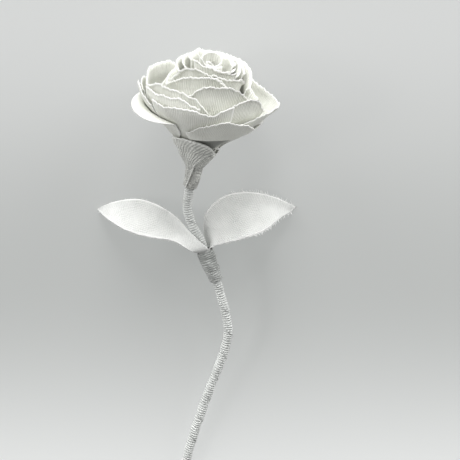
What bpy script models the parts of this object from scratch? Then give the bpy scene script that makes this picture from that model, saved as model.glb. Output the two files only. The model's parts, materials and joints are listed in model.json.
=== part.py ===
# A rose made of cotton cloth: petals cut and laid round a rolled bud, on a wire stem wrapped in strips.
# Metres, +Z up. The rose is modelled upright, with the cut end of its stem at the origin, and then laid down.
import bpy
import math
from mathutils import Matrix, Vector

MM = 0.001

# Cloth and clearances
CLOTH = 0.4 * MM             # thickness of the petal and calyx cloth
LEAF_CLOTH = 0.5 * MM        # the leaves are cut from a coarser cloth
GAP = 0.31 * MM              # air between neighbouring pieces

# Stem: a bent wire inside a wound strip
WIRE_RADIUS = 1.0 * MM
WRAP_THICKNESS = 1.2 * MM
STRIP_PITCH = 13.0 * MM      # one turn of the wound strip
STRIP_STEP = 0.22 * MM       # height of the strip's edge over the turn below
STEM_ROUTE = [               # x, y, z from the cut end up to the neck, in millimetres
    (0, 0, 0), (4.5, 0, 19), (10, 0, 37.5), (16.6, 0, 57), (22.4, 0, 73), (25.2, 0, 86),
    (23.8, 0, 98), (19.4, 0.3, 114.5), (14.7, 0.9, 127.5), (10.4, 1.6, 138.5), (5.8, 2.1, 148),
    (4.0, 2.0, 157), (5.3, 0.8, 166),
]
NECK = Vector((7.2, 0, 173.6)) * MM
HEAD_LEAN = math.radians(9.7)      # the head leans to the right of the stem
HEAD_NOD = math.radians(0)         # and neither forward nor back
WRAP_END = 1.0 * MM                # the stem's wrap stops this far above the neck
WIRE_END = 34.0 * MM               # the wire goes on this far, up into the bud

# Head: goblet-shaped layers of petals, heights above the neck
CUP_START = 13.0 * MM        # the layers are upright below this height
CUP_BELLY = 44.0 * MM        # and reach their full radius at this one
FOOT_START = 5.0 * MM        # just below the first layer's feet
FOOT_RISE = 1.15 * MM        # each layer's feet sit this much higher than the layer inside it
OVAL = 1.0 * MM              # its radius is this much more at the sides and this much less in front and behind
SWAY = 0.42 * MM             # its radius is this uneven
SWAY_HEIGHT = 9.0 * MM       # and the unevenness turns one radian round the axis over this height

# Bud: a strip rolled round the top of the wire, low inside and rising to its outer turn
ROLL_TURNS = 2.0
ROLL_TOP_PITCH = 2.6 * MM    # distance from turn to turn at its top
ROLL_CORE_HEIGHT = 57.0 * MM
ROLL_HEIGHT = 63.0 * MM
ROLL_TILT = 2.6 * MM         # its outer turn is this much higher behind and lower in front
ROLL_START = math.radians(46)

# Layers from the bud outwards: distance from the rim inside it in millimetres, and its petals as azimuth and
# half width in degrees (0 faces forward, plus is to the right) and heights of the rim from left to right. A last
# value, where there is one, is how far the middle of the rim leans out.
LAYERS = [
    (2.2, {
        "bud_petal_front": (15, 62, (66.5, 61.5, 59.5, 59.7, 60.5)),
        "bud_petal_back": (182, 86, (62, 63.2, 63.6, 64.8, 62)),
    }),
    (3.0, {
        "heart_petal_front": (8, 55, (64, 62, 60.7, 60.5, 59)),
        "heart_petal_right": (122, 54, (58, 62, 63.2, 63.4, 63)),
        "heart_petal_left": (-114, 62, (63, 63, 62, 60, 58)),
    }),
    (2.8, {
        "inner_petal_front": (30, 60, (57, 58, 57.5, 57, 53)),
        "inner_petal_right": (150, 54, (57, 62, 62, 61.8, 59)),
        "inner_petal_left": (-94, 58, (61, 60.5, 58.5, 56, 54)),
    }),
    (2.8, {
        "middle_petal_front": (-18, 54, (51, 58.8, 60.8, 58, 52.5)),
        "middle_petal_right": (128, 52, (52, 58.5, 60.4, 60.8, 58)),
        "middle_petal_left": (-130, 47, (59, 57, 54, 50, 46)),
    }),
    (3.6, {
        "upper_petal_front": (-20, 54, (46, 53.5, 58.2, 58.3, 52)),
        "upper_petal_right": (148, 35, (46, 52, 55, 56, 55)),
        "upper_petal_left": (-134, 39, (54, 52, 49, 46, 42)),
    }),
    (4.6, {
        "broad_petal_front": (14, 44, (45, 54.6, 56.3, 53.7, 46)),
        "broad_petal_back": (166, 34, (44, 51, 54.5, 55, 50)),
    }),
    (3.2, {
        "outer_petal_left": (-34, 44, (46, 50.5, 50.3, 48.5, 41)),
        "outer_petal_right": (42, 29, (44, 48.8, 51, 50, 44)),
        "outer_petal_back": (-116, 36, (49, 52.3, 52, 51, 46)),
        "outer_petal_far": (160, 40, (42, 47, 49, 50, 47)),
    }),
    (2.8, {
        "side_petal_left": (-38, 32, (46.5, 46.5, 46.6, 47.8, 45)),
        "side_petal_right": (90, 57, (38.5, 43, 45.2, 47, 50), 3.4),
        "side_petal_back": (-112, 38, (44, 46, 45, 46, 44)),
        "side_petal_far": (181, 26, (46, 50, 50, 49, 45)),
    }),
    (2.0, {
        "ribbed_petal_front": (-15, 38, (43, 42.3, 44, 43.8, 48.5)),
        "ribbed_petal_left": (-84, 29, (40, 44, 45, 43.5, 40)),
        "ribbed_petal_back": (130, 38, (33, 38, 41, 42, 40)),
        "ribbed_petal_far": (-152, 37, (42, 45, 46, 45, 41)),
    }),
    (1.6, {
        "lowest_petal_front": (17, 36, (30, 35.7, 41, 39.5, 36)),
        "lowest_petal_back": (112, 34, (28, 33, 36, 36, 33)),
        "lowest_petal_far": (-164, 44, (33, 37, 39, 38, 34)),
    }),
]
PETAL_FOOT_SHARE = 0.5       # a petal's angle at its foot, as a share of its angle at the rim
PETAL_WIDEST_SHARE = 0.65    # a petal has its full angle above this share of its height
ROW_HEIGHTS = [17, 23, 30, 38]         # every petal bends at these heights, in millimetres
ROW_SPACE = 1.2 * MM         # least space between a petal's rows where its rim comes down to them
RIM_ROW = 4.5 * MM           # a petal's last row lies this far below its rim
COLUMN_ANGLE = 8.0           # a petal's half width in degrees for each of its columns
LEAST_COLUMNS = 6
FLARE_HEIGHT = 7.0 * MM      # the rims lean out over this much of their height
FLARE_SHARE = 0.3            # by this share of the way to the next layer
LEAN_POWER = 6               # the higher this is, the sharper is the tip of a petal that leans out further

# The petal on the left is turned out and down at its rim
TURNED_AZIMUTH = math.radians(-71)
TURNED_HALF_WIDTH = math.radians(42)
TURNED_BEND_HEIGHT = 33.5 * MM     # its middle leaves its layer here
TURNED_TILT = 1.5 * MM             # its back edge this much higher and its front edge this much lower
TURNED_LENGTH = 9.0 * MM           # and it goes on this far along its curve
TURNED_START_PITCH = math.radians(50)
TURNED_END_PITCH = math.radians(-70)
TURNED_CORNER_CUT = 5.0 * MM       # its corners are rounded off by this much
TURNED_CORNER_POWER = 2.4          # and the higher this is, the squarer they are

# Calyx: a cone wrapped round the feet with its seam in front
CALYX_FOOT = -6.0 * MM
CALYX_TOP = 14.5 * MM
CALYX_SEAM = math.radians(42)          # the azimuth of its outer edge at its top
CALYX_SLANT = math.radians(80)         # the outer edge runs back this far round the stem, down to its foot
CALYX_TURNS = 1.16
CALYX_CLEARANCE = 1.04 * MM  # from the petals inside it to the middle of its cloth
CALYX_LAP = 0.82 * MM        # each turn lies this much further out than the turn inside it
CALYX_PLEATS = 7
CALYX_PLEAT_DEPTH = 0.35 * MM
CALYX_PLEAT_START = 4.0 * MM           # they begin at this height
CALYX_PLEAT_RISE = 8.0 * MM            # and reach their full depth over this much more
CALYX_POINT = 10.3 * MM      # how far its front rises above the rest of its top edge
CALYX_POINT_AZIMUTH = math.radians(-20)
CALYX_WAVE = 0.6 * MM        # its top edge waves this much up and down
CALYX_WAVES = 4

# Leaves: lengths along the blade, and where their feet sit on the stem
LEAF_SEAT = 132.5 * MM       # height on the stem where the blades leave it
LEAF_FOOT_LENGTH = 5.0 * MM  # this much of each leaf lies under the tie
LEAF_FOOT_HALF_WIDTH = math.radians(52)
TIE_LENGTH = 17.0 * MM
TIE_THICKNESS = 0.42 * MM    # at its top
TIE_FOOT_THICKNESS = 0.25 * MM
TIE_BELOW_SEAT = 0.8 * MM    # the leaves bend outwards just above the tie
TIE_NECK = 6.5 * MM          # length at its top that is wide enough to cover the leaves' feet
TIE_TURNS = 2.5
LEAF_RISE = 9.0 * MM         # a leaf's foot leads this far up the stem while it opens into the blade
LEAF_OPENING = 14.0 * MM     # and this far out from it
LEAF_FOOT_ROWS = 2
LEAF_BLADE_ROWS = 10
LEAF_BLEND_ROWS = 2.5        # the foot has turned into the blade after this many rows
LEAF_FRONT_SHARE = 0.4       # a blade that starts in front of the stem has come back by this share of its length
LEAF_BACK_POWER = 1.5        # the higher this is, the nearer to its tip a leaf bends back
LEAF_CHANNEL_WIDTH = 20.0 * MM     # a leaf this wide has its full channel depth, and a narrower part has less
LEAF_CHANNEL_START = 0.35    # the channel has its full depth from this share of the blade on
LEAF_TIP_FLATTENING = 0.6    # share of the channel that is lost towards the tip

# Each leaf: where its foot sits round the stem, how far forward of the stem's middle its blade starts, its upper
# and lower edges from the stem to the tip as x, z in millimetres, how far its upper edge leans back and its lower
# edge forward, and how deep its channel is
LEAVES = {
    "left_leaf": {
        "foot_azimuth": -8, "front": 10.5, "edge_lean": 5.0, "channel": 2.4,
        "upper": [(12, 136), (6, 142), (-1.5, 147.5), (-11.5, 152.7), (-22, 154.9), (-34, 152.6), (-43.3, 148)],
        "lower": [(11, 132), (4.5, 135.3), (-3.5, 137.8), (-15.5, 138.5), (-27, 140), (-37.5, 144), (-43.8, 147)],
    },
    "right_leaf": {
        "foot_azimuth": 104, "front": 0.0, "edge_lean": 5.0, "channel": 2.0,
        "upper": [(13, 136), (11.8, 145.5), (15.8, 153), (24.5, 158.4), (36.5, 158.7), (49.5, 155), (60.8, 148.6)],
        "lower": [(15, 132.5), (20.5, 135.6), (28.5, 137.6), (37.5, 139.2), (45.5, 141.3), (52.5, 145), (60.2, 147.6)],
    },
}

TIP_LIFT = 0.06 * MM         # the leaves' tips just clear the surface on which the rose lies

CLOTH_COLOUR = (0.80, 0.80, 0.77, 1)
STEM_COLOUR = (0.55, 0.56, 0.55, 1)
LEAF_COLOUR = (0.76, 0.77, 0.76, 1)
WIRE_COLOUR = (0.45, 0.45, 0.46, 1)


def remove_everything():
    for item in list(bpy.data.objects):
        bpy.data.objects.remove(item, do_unlink=True)


def make_material(name, colour, roughness, metallic=0.0):
    material = bpy.data.materials.new(name)
    material.use_nodes = True
    shader = material.node_tree.nodes["Principled BSDF"]
    shader.inputs["Base Color"].default_value = colour
    shader.inputs["Roughness"].default_value = roughness
    shader.inputs["Metallic"].default_value = metallic
    return material


def make_object(name, points, faces, colour, roughness=0.9, metallic=0.0):
    mesh = bpy.data.meshes.new(name)
    mesh.from_pydata(points, [], faces)
    mesh.validate()
    mesh.shade_smooth()
    piece = bpy.data.objects.new(name, mesh)
    bpy.context.scene.collection.objects.link(piece)
    mesh.materials.append(make_material(name, colour, roughness, metallic))
    return piece


def make_sheet(name, surface, columns, rows, thickness, colour):
    """One cut piece of cloth: surface(u, v) gives its middle, u across from -1 to 1 and v up from 0 to 1."""
    points = []
    for row in range(rows + 1):
        for column in range(columns + 1):
            points.append(surface(2 * column / columns - 1, row / rows))
    wide = columns + 1
    faces = []
    for row in range(rows):
        for column in range(columns):
            corner = row * wide + column
            faces.append((corner, corner + 1, corner + wide + 1, corner + wide))
    piece = make_object(name, points, faces, colour)
    solidify = piece.modifiers.new("thickness", "SOLIDIFY")
    solidify.thickness = thickness
    solidify.offset = 0
    solidify.use_even_offset = True
    return piece


def smooth(value):
    value = max(0.0, min(1.0, value))
    return value * value * (3 - 2 * value)


# The head's own axes: up along its axis, forward, and to the right
HEAD_AXIS = Vector((math.sin(HEAD_LEAN), -math.sin(HEAD_NOD), 1))
HEAD_AXIS.z = math.sqrt(1 - HEAD_AXIS.x ** 2 - HEAD_AXIS.y ** 2)
HEAD_FRONT = (Vector((0, -1, 0)) + HEAD_AXIS * HEAD_AXIS.y).normalized()
HEAD_RIGHT = HEAD_FRONT.cross(HEAD_AXIS) * -1


def head_point(azimuth, radius, height):
    outward = HEAD_FRONT * math.cos(azimuth) + HEAD_RIGHT * math.sin(azimuth)
    return NECK + HEAD_AXIS * height + outward * radius


# Layers
LAYER_PITCH = CLOTH + GAP
ROLL_FOOT_PITCH = LAYER_PITCH + 0.03 * MM      # the roll's flat facets need a little more than the cloth does
ROLL_INNER = WIRE_RADIUS + GAP + CLOTH / 2
ROLL_OUTER = ROLL_INNER + ROLL_TURNS * ROLL_FOOT_PITCH
ROLL_TOP_OUTER = ROLL_INNER + ROLL_TURNS * ROLL_TOP_PITCH


def foot_radius(layer):
    return ROLL_OUTER + LAYER_PITCH * layer


def rim_radius(layer):
    return ROLL_TOP_OUTER + sum(step for step, petals in LAYERS[:layer]) * MM


def step_outside(layer):
    """Distance from this layer's rim to the next one's."""
    return LAYERS[min(layer, len(LAYERS) - 1)][0] * MM


def foot_height(layer):
    return FOOT_START + FOOT_RISE * layer


def cup(height):
    """How far a layer has opened at this height, from 0 at its foot to 1 at its belly."""
    share = (height - CUP_START) / (CUP_BELLY - CUP_START)
    return math.sin(math.pi / 2 * max(0.0, min(1.0, share))) ** 2


def sway(azimuth, height):
    """The head's oval and its uneven hand work, shared by every layer so that they stay clear of each other."""
    wave = SWAY * math.sin(3 * azimuth - height / SWAY_HEIGHT)
    return (wave - OVAL * math.cos(2 * azimuth)) * cup(height)


def layer_radius(layer, azimuth, height):
    foot = foot_radius(layer)
    return foot + (rim_radius(layer) - foot) * cup(height) + sway(azimuth, height)


def row_heights(foot, top):
    """Heights of a petal's rows: its foot, the heights that all petals share, one below its rim, and its rim."""
    heights = [height * MM for height in ROW_HEIGHTS]
    heights.append(max(top - RIM_ROW, heights[-1] + ROW_SPACE))
    count = len(heights)
    lowered = [min(height, top - ROW_SPACE * (count - index)) for index, height in enumerate(heights)]
    return [foot] + lowered + [top]


def foot_narrowing(v):
    return PETAL_FOOT_SHARE + (1 - PETAL_FOOT_SHARE) * smooth(v / PETAL_WIDEST_SHARE)


def make_petal(name, layer, azimuth, half_width, rim, lean=0.0):
    azimuth = math.radians(azimuth)
    half_width = math.radians(half_width)
    foot = foot_height(layer)

    def surface(u, v):
        top = curve_point(rim, (u + 1) / 2 * (len(rim) - 1)) * MM
        heights = row_heights(foot, top)
        height = heights[round(v * (len(heights) - 1))]
        angle = azimuth + half_width * u * foot_narrowing((height - foot) / (top - foot))
        reach = FLARE_SHARE * step_outside(layer) + lean * MM * math.cos(math.pi / 2 * u) ** LEAN_POWER
        flare = smooth(1 - (top - height) / FLARE_HEIGHT) * reach
        return head_point(angle, layer_radius(layer, angle, height) + flare, height)

    columns = max(LEAST_COLUMNS, round(math.degrees(half_width) / COLUMN_ANGLE))
    return make_sheet(name, surface, columns, len(ROW_HEIGHTS) + 2, CLOTH, CLOTH_COLOUR)


def make_turned_petal():
    """The left petal follows the outer layer up, then curves out and down."""
    layer = len(LAYERS)
    foot = foot_height(layer)
    lowest_bend = TURNED_BEND_HEIGHT - TURNED_TILT
    climb = [foot] + [height * MM for height in ROW_HEIGHTS if foot < height * MM < lowest_bend]
    curl_rows = 5
    curve_steps = 12
    rows = len(climb) + curl_rows

    def surface(u, v):
        row = round(v * rows)
        angle = TURNED_AZIMUTH + TURNED_HALF_WIDTH * u * foot_narrowing(v)
        if row < len(climb):
            return head_point(angle, layer_radius(layer, angle, climb[row]), climb[row])
        height = TURNED_BEND_HEIGHT - TURNED_TILT * u
        radius = layer_radius(layer, angle, height)
        cut = TURNED_CORNER_CUT * abs(u) ** TURNED_CORNER_POWER
        length = (TURNED_LENGTH - cut) * (row - len(climb)) / curl_rows
        for step in range(curve_steps):
            share = (step + 0.5) / curve_steps * length / TURNED_LENGTH
            pitch = TURNED_START_PITCH + (TURNED_END_PITCH - TURNED_START_PITCH) * share
            radius += math.cos(pitch) * length / curve_steps
            height += math.sin(pitch) * length / curve_steps
        return head_point(angle, radius, height)

    return make_sheet("turned_petal_left", surface, 9, rows, CLOTH, CLOTH_COLOUR)


def make_bud_roll():
    """A strip rolled round the wire, its turns closer at the foot than at the top."""
    foot = WRAP_END + GAP

    def surface(u, v):
        turn = (u + 1) / 2 * ROLL_TURNS
        azimuth = ROLL_START + 2 * math.pi * turn
        rise = smooth(turn / (ROLL_TURNS - 1))
        rim = ROLL_CORE_HEIGHT + (ROLL_HEIGHT - ROLL_CORE_HEIGHT - ROLL_TILT * math.cos(azimuth)) * rise
        height = foot + (rim - foot) * v
        pitch = ROLL_FOOT_PITCH + (ROLL_TOP_PITCH - ROLL_FOOT_PITCH) * cup(height)
        return head_point(azimuth, ROLL_INNER + pitch * turn, height)

    return make_sheet("bud_roll", surface, 28, 5, CLOTH, CLOTH_COLOUR)


# Stem
SPAN_STEPS = 40              # the centre line has this many steps from one point of its route to the next
TANGENT_STEPS = 12           # and its direction is taken over this many to each side


def curve_point(points, position):
    """A smooth curve through the points; position runs from 0 to the number of spans."""
    span = min(int(position), len(points) - 2)
    share = position - span
    before = points[max(span - 1, 0)]
    start = points[span]
    end = points[span + 1]
    after = points[min(span + 2, len(points) - 1)]
    return 0.5 * (2 * start + (end - before) * share
                  + (2 * before - 5 * start + 4 * end - after) * share ** 2
                  + (3 * start - before - 3 * end + after) * share ** 3)


def centre_line():
    """Close points along the stem and on along the head's axis, with their distance from the neck."""
    route = [Vector(point) * MM for point in STEM_ROUTE] + [NECK]
    route += [NECK + HEAD_AXIS * WIRE_END * share for share in (0.35, 0.7, 1.0)]
    fine = []
    for step in range(SPAN_STEPS * (len(route) - 1) + 1):
        fine.append(curve_point(route, step / SPAN_STEPS))
    lengths = [0.0]
    for index in range(1, len(fine)):
        lengths.append(lengths[-1] + (fine[index] - fine[index - 1]).length)
    neck_length = lengths[SPAN_STEPS * len(STEM_ROUTE)]
    return fine, [length - neck_length for length in lengths]


FINE_LINE, FINE_LENGTHS = centre_line()


def line_point(length):
    """The centre line's point and direction at this distance above the neck, or below it if less than 0."""
    index = 1
    while index < len(FINE_LENGTHS) - 1 and FINE_LENGTHS[index] < length:
        index += 1
    start, end = FINE_LINE[index - 1], FINE_LINE[index]
    share = (length - FINE_LENGTHS[index - 1]) / (FINE_LENGTHS[index] - FINE_LENGTHS[index - 1])
    before = FINE_LINE[max(index - TANGENT_STEPS, 0)]
    after = FINE_LINE[min(index - 1 + TANGENT_STEPS, len(FINE_LINE) - 1)]
    return start + (end - start) * share, (after - before).normalized()


def ring_point(length, azimuth, radius):
    """A point round the stem: azimuth 0 faces forward and plus is to the right, as on the head."""
    centre, along = line_point(length)
    front = (Vector((0, -1, 0)) - along * along.dot(Vector((0, -1, 0)))).normalized()
    side = front.cross(along) * -1
    return centre + (front * math.cos(azimuth) + side * math.sin(azimuth)) * radius


def stem_length_at(height):
    """Distance from the neck of the stem's point at this height above the cut end."""
    for index in range(1, len(FINE_LINE)):
        if FINE_LINE[index].z >= height:
            return FINE_LENGTHS[index]
    return 0.0


STEM_FOOT = FINE_LENGTHS[0]
STEM_RADIUS = WIRE_RADIUS + GAP + WRAP_THICKNESS


def make_wire():
    sides, rings = 6, 36
    points, faces = [], []
    for ring in range(rings + 1):
        length = STEM_FOOT + (WIRE_END - STEM_FOOT) * ring / rings
        for side in range(sides):
            points.append(ring_point(length, 2 * math.pi * side / sides, WIRE_RADIUS))
    for ring in range(rings):
        for side in range(sides):
            low = ring * sides
            nxt = (side + 1) % sides
            faces.append((low + side, low + nxt, low + sides + nxt, low + sides + side))
    faces.append(tuple(reversed(range(sides))))
    faces.append(tuple(range(rings * sides, (rings + 1) * sides)))
    return make_object("stem_wire", points, faces, WIRE_COLOUR, 0.4, 1.0)


def make_sleeve(name, start, end, rings, sides, inner, outer, colour):
    """A tube of wound cloth along the stem: inner(share) and outer(share, azimuth) are its radii."""
    points, faces = [], []
    flat_allowance = 1 / math.cos(math.pi / sides)
    for ring in range(rings + 1):
        share = ring / rings
        length = start + (end - start) * share
        for side in range(sides):
            azimuth = 2 * math.pi * side / sides
            points.append(ring_point(length, azimuth, outer(share, azimuth)))
        for side in range(sides):
            azimuth = 2 * math.pi * side / sides
            points.append(ring_point(length, azimuth, inner(share) * flat_allowance))
    for ring in range(rings + 1):
        low = ring * 2 * sides
        for side in range(sides):
            nxt = (side + 1) % sides
            if ring < rings:
                high = low + 2 * sides
                faces.append((low + side, low + nxt, high + nxt, high + side))
                faces.append((low + sides + nxt, low + sides + side, high + sides + side, high + sides + nxt))
            if ring == 0:
                faces.append((low + nxt, low + side, low + sides + side, low + sides + nxt))
            if ring == rings:
                faces.append((low + side, low + nxt, low + sides + nxt, low + sides + side))
    return make_object(name, points, faces, colour)


def make_stem_wrap():
    length = WRAP_END - STEM_FOOT

    def outer(share, azimuth):
        turn = share * length / STRIP_PITCH + azimuth / (2 * math.pi)
        return STEM_RADIUS - STRIP_STEP * (turn % 1.0)

    return make_sleeve("stem_wrap", STEM_FOOT, WRAP_END, 52, 8,
                       lambda share: WIRE_RADIUS + GAP, outer, STEM_COLOUR)


# Leaves and their tie
LEAF_FOOT_RADIUS = STEM_RADIUS + GAP + LEAF_CLOTH / 2
TIE_INNER = LEAF_FOOT_RADIUS + LEAF_CLOTH / 2 + GAP
TIE_LOW_INNER = STEM_RADIUS + GAP
SEAT_LENGTH = stem_length_at(LEAF_SEAT)


def tie_inner(share):
    """The tie is wide at its top, over the leaves' feet, and narrows to the stem below them."""
    from_top = (1 - share) * TIE_LENGTH
    narrowing = smooth((from_top - TIE_NECK) / (TIE_LENGTH - TIE_NECK))
    return TIE_INNER + (TIE_LOW_INNER - TIE_INNER) * narrowing


def make_leaf_tie():
    end = SEAT_LENGTH - TIE_BELOW_SEAT

    def outer(share, azimuth):
        turn = share * TIE_TURNS + azimuth / (2 * math.pi)
        thickness = TIE_FOOT_THICKNESS + (TIE_THICKNESS - TIE_FOOT_THICKNESS) * share
        return tie_inner(share) + thickness + STRIP_STEP * (1 - turn % 1.0)

    return make_sleeve("leaf_tie", end - TIE_LENGTH, end, 9, 12, tie_inner, outer, STEM_COLOUR)


def world_points(piece):
    evaluated = piece.evaluated_get(bpy.context.evaluated_depsgraph_get())
    return [piece.matrix_world @ vertex.co for vertex in evaluated.data.vertices]


def end_back():
    """The rearmost point of the stem's cut end, on which the lying rose rests."""
    return ring_point(STEM_FOOT, math.pi, STEM_RADIUS)


def find_lying_slope(pieces):
    """Slope of the surface that touches the stem's end and the back of the head, as depth over height."""
    start = end_back()
    slopes = []
    for piece in pieces:
        for point in world_points(piece):
            if point.z > NECK.z:
                slopes.append((point.y - start.y) / (point.z - start.z))
    return max(slopes)


def lying_depth(height, lying_slope):
    start = end_back()
    return start.y + (height - start.z) * lying_slope


def make_leaf(name, leaf, lying_slope):
    """A cut leaf: its foot curls round the stem under the tie, and its blade is channelled along its middle."""
    upper = [Vector((x, 0, z)) * MM for x, z in leaf["upper"]]
    lower = [Vector((x, 0, z)) * MM for x, z in leaf["lower"]]
    foot_azimuth = math.radians(leaf["foot_azimuth"])
    middle = line_point(SEAT_LENGTH)[0].y
    tip_reach = lying_depth(upper[-1].z, lying_slope) - TIP_LIFT - LEAF_CLOTH / 2 - middle

    def blade_point(u, share):
        position = share * (len(upper) - 1)
        high = curve_point(upper, position)
        low = curve_point(lower, position)
        width = (high - low).length
        lean = leaf["edge_lean"] * MM * math.sin(math.pi * share)
        front = leaf["front"] * MM * (1 - smooth(share / LEAF_FRONT_SHARE))
        back = middle - front + tip_reach * share ** LEAF_BACK_POWER + lean * u
        depth = leaf["channel"] * MM * width / LEAF_CHANNEL_WIDTH * (1 - LEAF_TIP_FLATTENING * share)
        depth *= smooth(share / LEAF_CHANNEL_START)
        point = low + (high - low) * (u + 1) / 2
        return Vector((point.x, back + depth * (1 - u * u), point.z))

    def surface(u, v):
        row = v * (LEAF_FOOT_ROWS + LEAF_BLADE_ROWS)
        azimuth = foot_azimuth + LEAF_FOOT_HALF_WIDTH * u
        if row <= LEAF_FOOT_ROWS:
            length = SEAT_LENGTH - LEAF_FOOT_LENGTH * (1 - row / LEAF_FOOT_ROWS)
            return ring_point(length, azimuth, LEAF_FOOT_RADIUS)
        share = (row - LEAF_FOOT_ROWS) / LEAF_BLADE_ROWS
        blend = smooth((row - LEAF_FOOT_ROWS) / LEAF_BLEND_ROWS)
        rise = ring_point(SEAT_LENGTH + share * LEAF_RISE, azimuth, LEAF_FOOT_RADIUS + share * LEAF_OPENING)
        return rise.lerp(blade_point(u, share), blend)

    return make_sheet(name, surface, 6, LEAF_FOOT_ROWS + LEAF_BLADE_ROWS, LEAF_CLOTH, LEAF_COLOUR)


def calyx_radius(height):
    """Middle of the cloth: from the stem below, out over the feet of the petals, and on beside the last layer."""
    last = len(LAYERS)
    if height < FOOT_START:
        low = STEM_RADIUS + GAP + CLOTH / 2
        share = (height - CALYX_FOOT) / (FOOT_START - CALYX_FOOT)
        return low + (foot_radius(0) + CALYX_CLEARANCE - low) * share
    if height < foot_height(last):
        return foot_radius((height - FOOT_START) / FOOT_RISE) + CALYX_CLEARANCE
    return foot_radius(last) + (rim_radius(last) - foot_radius(last)) * cup(height) + CALYX_CLEARANCE


def make_calyx():
    def surface(u, v):
        turn = (u + 1) / 2 * CALYX_TURNS
        azimuth = CALYX_SEAM + 2 * math.pi * (turn - CALYX_TURNS) - CALYX_SLANT * (1 - v)
        facing = max(0.0, math.cos(azimuth - CALYX_POINT_AZIMUTH))
        top = CALYX_TOP + CALYX_POINT * facing ** 2 + CALYX_WAVE * math.sin(CALYX_WAVES * azimuth)
        height = CALYX_FOOT + (top - CALYX_FOOT) * v
        pleat = CALYX_PLEAT_DEPTH * (1 + math.cos(CALYX_PLEATS * azimuth)) * smooth((height - CALYX_PLEAT_START) / CALYX_PLEAT_RISE)
        radius = calyx_radius(height) + CALYX_LAP * turn + pleat + sway(azimuth, height)
        return ring_point(height, azimuth, radius)

    return make_sheet("calyx_wrap", surface, 30, 8, CLOTH, CLOTH_COLOUR)


def lay_down(pieces, lying_slope):
    """Turns the rose onto its back, with its lowest point at height 0 and its box centred on the origin."""
    turn = Matrix.Rotation(math.atan(lying_slope) - math.pi / 2, 4, "X")
    turned = [turn @ point for piece in pieces for point in world_points(piece)]
    centre = []
    for axis in (0, 1):
        values = [point[axis] for point in turned]
        centre.append((min(values) + max(values)) / 2)
    lowest = min(point.z for point in turned)
    rose = bpy.data.objects.new("rose", None)
    bpy.context.scene.collection.objects.link(rose)
    rose.matrix_world = Matrix.Translation((-centre[0], -centre[1], -lowest)) @ turn
    for piece in pieces:
        piece.parent = rose
    bpy.context.view_layer.update()
    return rose


def build():
    remove_everything()
    pieces = [make_wire(), make_stem_wrap(), make_leaf_tie(), make_calyx(), make_bud_roll()]
    for index, (step, petals) in enumerate(LAYERS):
        for name, values in petals.items():
            pieces.append(make_petal(name, index + 1, *values))
    pieces.append(make_turned_petal())
    bpy.context.view_layer.update()
    lying_slope = find_lying_slope(pieces)
    for name, leaf in LEAVES.items():
        pieces.append(make_leaf(name, leaf, lying_slope))
    bpy.context.view_layer.update()
    return lay_down(pieces, lying_slope)


build()
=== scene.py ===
import json
import math
import random
import bpy
from mathutils import Matrix, Vector, noise


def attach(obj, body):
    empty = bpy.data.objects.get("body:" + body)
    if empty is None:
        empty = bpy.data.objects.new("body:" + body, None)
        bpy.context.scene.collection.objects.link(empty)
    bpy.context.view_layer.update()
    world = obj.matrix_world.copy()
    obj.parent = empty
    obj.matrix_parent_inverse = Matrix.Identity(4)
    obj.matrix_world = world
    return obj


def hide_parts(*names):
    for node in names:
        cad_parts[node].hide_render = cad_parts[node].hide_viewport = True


# The looks of a cotton cloth rose that lies on its back: cut petals, calyx and leaves, and wound strips.
# The shapes follow the frame's own rules of construction, drawn finely. Metres, +Z up.
MM = 0.001

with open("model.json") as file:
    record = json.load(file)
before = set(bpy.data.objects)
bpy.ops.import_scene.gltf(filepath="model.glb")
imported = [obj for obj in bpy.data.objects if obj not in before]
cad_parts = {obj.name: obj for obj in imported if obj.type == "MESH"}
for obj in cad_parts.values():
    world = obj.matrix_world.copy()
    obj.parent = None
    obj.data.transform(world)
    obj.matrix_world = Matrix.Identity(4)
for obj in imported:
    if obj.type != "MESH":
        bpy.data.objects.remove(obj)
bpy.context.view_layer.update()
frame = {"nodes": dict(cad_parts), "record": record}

# Cloth and clearances
CLOTH = 0.4 * MM
LEAF_CLOTH = 0.5 * MM
GAP = 0.31 * MM

# Stem, upright, with the middle of its cut end at the origin: a bent wire inside a wound strip
WIRE_RADIUS = 1.0 * MM
WRAP_THICKNESS = 1.2 * MM
STRIP_PITCH = 13.0 * MM  # one turn of the wound strip
STRIP_STEP = 0.22 * MM   # height of the strip's edge over the turn below
STEM_ROUTE = [           # x, y, z from the cut end up to the neck, in millimetres
    (0, 0, 0), (4.5, 0, 19), (10, 0, 37.5), (16.6, 0, 57), (22.4, 0, 73), (25.2, 0, 86),
    (23.8, 0, 98), (19.4, 0.3, 114.5), (14.7, 0.9, 127.5), (10.4, 1.6, 138.5), (5.8, 2.1, 148),
    (4.0, 2.0, 157), (5.3, 0.8, 166),
]
NECK = Vector((7.2, 0, 173.6)) * MM
HEAD_LEAN = math.radians(9.7)  # the head leans to the right of the stem
HEAD_NOD = math.radians(0)     # and neither forward nor back
WRAP_END = 1.0 * MM            # the stem's wrap stops this far above the neck
WIRE_END = 34.0 * MM           # the wire goes on this far, up into the bud

# Head: goblet-shaped layers of petals, heights above the neck
CUP_START = 13.0 * MM   # the layers are upright below this height
CUP_BELLY = 44.0 * MM   # and reach their full radius at this one
FOOT_START = 5.0 * MM   # just below the first layer's feet
FOOT_RISE = 1.15 * MM   # each layer's feet sit this much higher than the last one's
OVAL = 1.0 * MM         # its radius is this much more at the sides, and less in front and behind
SWAY = 0.42 * MM        # its radius is this uneven
SWAY_HEIGHT = 9.0 * MM  # and turns one radian round the axis over this height

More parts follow.
